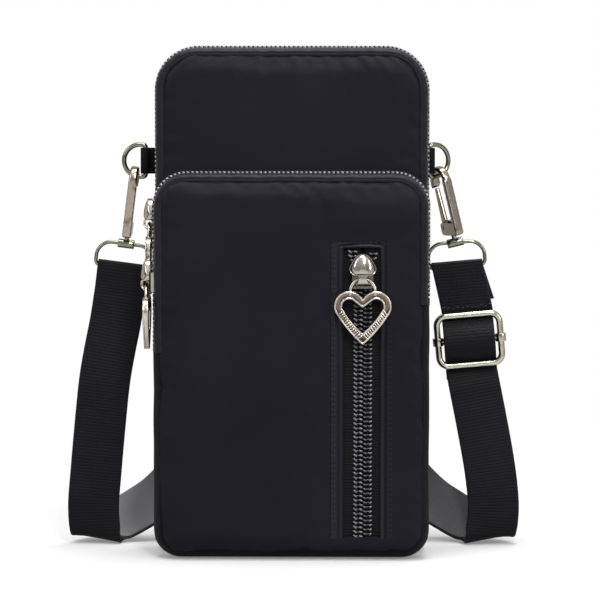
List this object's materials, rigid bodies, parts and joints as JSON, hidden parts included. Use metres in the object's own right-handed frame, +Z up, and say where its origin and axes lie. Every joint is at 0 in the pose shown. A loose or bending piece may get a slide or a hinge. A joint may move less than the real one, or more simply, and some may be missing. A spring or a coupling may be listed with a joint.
{
  "type": "phone pouch",
  "caption": "Upright nylon phone pouch with a zipped main compartment, a zipped front pocket, a front zip with heart pulls and a clip-on webbing strap.",
  "frame": {"origin": "middle of the base of the main compartment, on the surface that the pouch stands on", "axes": "+X to the wearer's view right of the front face, +Y to the back, +Z up"},
  "size_m": [0.1678, 0.0632, 0.19],
  "materials": {
    "panel_nylon": "water repellent coated nylon, satin",
    "gusset_nylon": "water repellent coated nylon, satin",
    "lining_cloth": "thin plain weave",
    "foam": "matt foam sheet",
    "zip_tape": "knitted tape",
    "coil": "nylon coil",
    "front_coil": "nylon coil",
    "pull_metal": "polished, worn bright",
    "hook_metal": "polished",
    "ring_metal": "polished wire",
    "webbing": "ribbed nylon webbing"
  },
  "bodies": {
    "pouch": {"rear_panel": "panel_nylon", "rear_foam": "foam", "divider_panel": "panel_nylon", "divider_foam": "foam", "main_lining": "lining_cloth", "main_base_gusset": "gusset_nylon", "main_strip_front": "gusset_nylon", "main_strip_rear": "gusset_nylon", "main_tape_front": "zip_tape", "main_tape_rear": "zip_tape", "main_coil_front": "coil", "main_coil_rear": "coil", "pocket_panel": "panel_nylon", "pocket_lining": "lining_cloth", "pocket_base_gusset": "gusset_nylon", "pocket_strip_front": "gusset_nylon", "pocket_strip_rear": "gusset_nylon", "pocket_tape_front": "zip_tape", "pocket_tape_rear": "zip_tape", "pocket_coil_front": "coil", "pocket_coil_rear": "coil", "front_zip_welt": "panel_nylon", "front_tape_left": "zip_tape", "front_tape_right": "zip_tape", "front_coil_left": "front_coil", "front_coil_right": "front_coil", "zip_pocket_bag": "lining_cloth", "tab_left": "webbing", "tab_right": "webbing", "swivel_left": "hook_metal", "swivel_right": "hook_metal", "strap_ring_left": "ring_metal", "strap_ring_right": "ring_metal", "strap_webbing": "webbing", "buckle_frame": "ring_metal", "buckle_bar": "ring_metal"},
    "main_slider": {"main_slider": "pull_metal"},
    "pocket_slider": {"pocket_slider": "pull_metal"},
    "front_slider": {"front_slider": "pull_metal"},
    "main_pull": {"main_heart_pull": "pull_metal"},
    "pocket_pull": {"pocket_heart_pull": "pull_metal"},
    "front_pull": {"front_heart_pull": "pull_metal"},
    "d_ring_left": {"d_ring_left": "ring_metal"},
    "d_ring_right": {"d_ring_right": "ring_metal"},
    "hook_left": {"snap_hook_left": "hook_metal", "gate_pin_left": "hook_metal"},
    "hook_right": {"snap_hook_right": "hook_metal", "gate_pin_right": "hook_metal"},
    "gate_left": {"hook_gate_left": "hook_metal"},
    "gate_right": {"hook_gate_right": "hook_metal"}
  },
  "joints": [
    {"name": "main_zip_slide", "type": "slide", "parent": "pouch", "child": "main_slider", "axis": [0, 0, 1], "range_m": [-0.004, 0.01]},
    {"name": "pocket_zip_slide", "type": "slide", "parent": "pouch", "child": "pocket_slider", "axis": [0, 0, 1], "range_m": [-0.02, 0.006]},
    {"name": "front_zip_slide", "type": "slide", "parent": "pouch", "child": "front_slider", "axis": [0, 0, 1], "range_m": [-0.092, 0]},
    {"name": "main_pull_swing", "type": "hinge", "parent": "main_slider", "child": "main_pull", "pos_m": [-0.05365, 0, 0.1235], "axis": [0, 1, 0], "range_deg": [0, 15]},
    {"name": "pocket_pull_swing", "type": "hinge", "parent": "pocket_slider", "child": "pocket_pull", "pos_m": [-0.05365, -0.0174, 0.102], "axis": [0, 1, 0], "range_deg": [0, 120]},
    {"name": "front_pull_swing", "type": "hinge", "parent": "front_slider", "child": "front_pull", "pos_m": [0.0265, -0.02825, 0.1048], "axis": [-1, 0, 0], "range_deg": [0, 120]},
    {"name": "d_ring_left_turn", "type": "hinge", "parent": "pouch", "child": "d_ring_left", "pos_m": [-0.0555, 0.009, 0.1466], "axis": [0, 0, 1], "range_deg": [-5, 5]},
    {"name": "d_ring_right_turn", "type": "hinge", "parent": "pouch", "child": "d_ring_right", "pos_m": [0.0518, 0.009, 0.1466], "axis": [0, 0, 1], "range_deg": [-5, 5]},
    {"name": "hook_left_swivel", "type": "hinge", "parent": "pouch", "child": "hook_left", "pos_m": [-0.06288, 0.01128, 0.11785], "axis": [0.1282, -0.0976, 0.9869], "range_deg": [-10, 10]},
    {"name": "hook_right_swivel", "type": "hinge", "parent": "pouch", "child": "hook_right", "pos_m": [0.06103, 0.01348, 0.1183], "axis": [-0.2323, -0.0976, 0.9677], "range_deg": [-10, 10]},
    {"name": "gate_left_press", "type": "hinge", "parent": "hook_left", "child": "gate_left", "pos_m": [-0.06244, 0.01486, 0.12129], "axis": [0.9917, 0, -0.1288], "range_deg": [0, 20], "stiffness_Nm_per_rad": 0.004, "springref_deg": -28.65},
    {"name": "gate_right_press", "type": "hinge", "parent": "hook_right", "child": "gate_right", "pos_m": [0.05834, 0.01654, 0.12116], "axis": [0.8307, 0.4976, 0.2496], "range_deg": [0, 20], "stiffness_Nm_per_rad": 0.004, "springref_deg": -28.65}
  ]
}
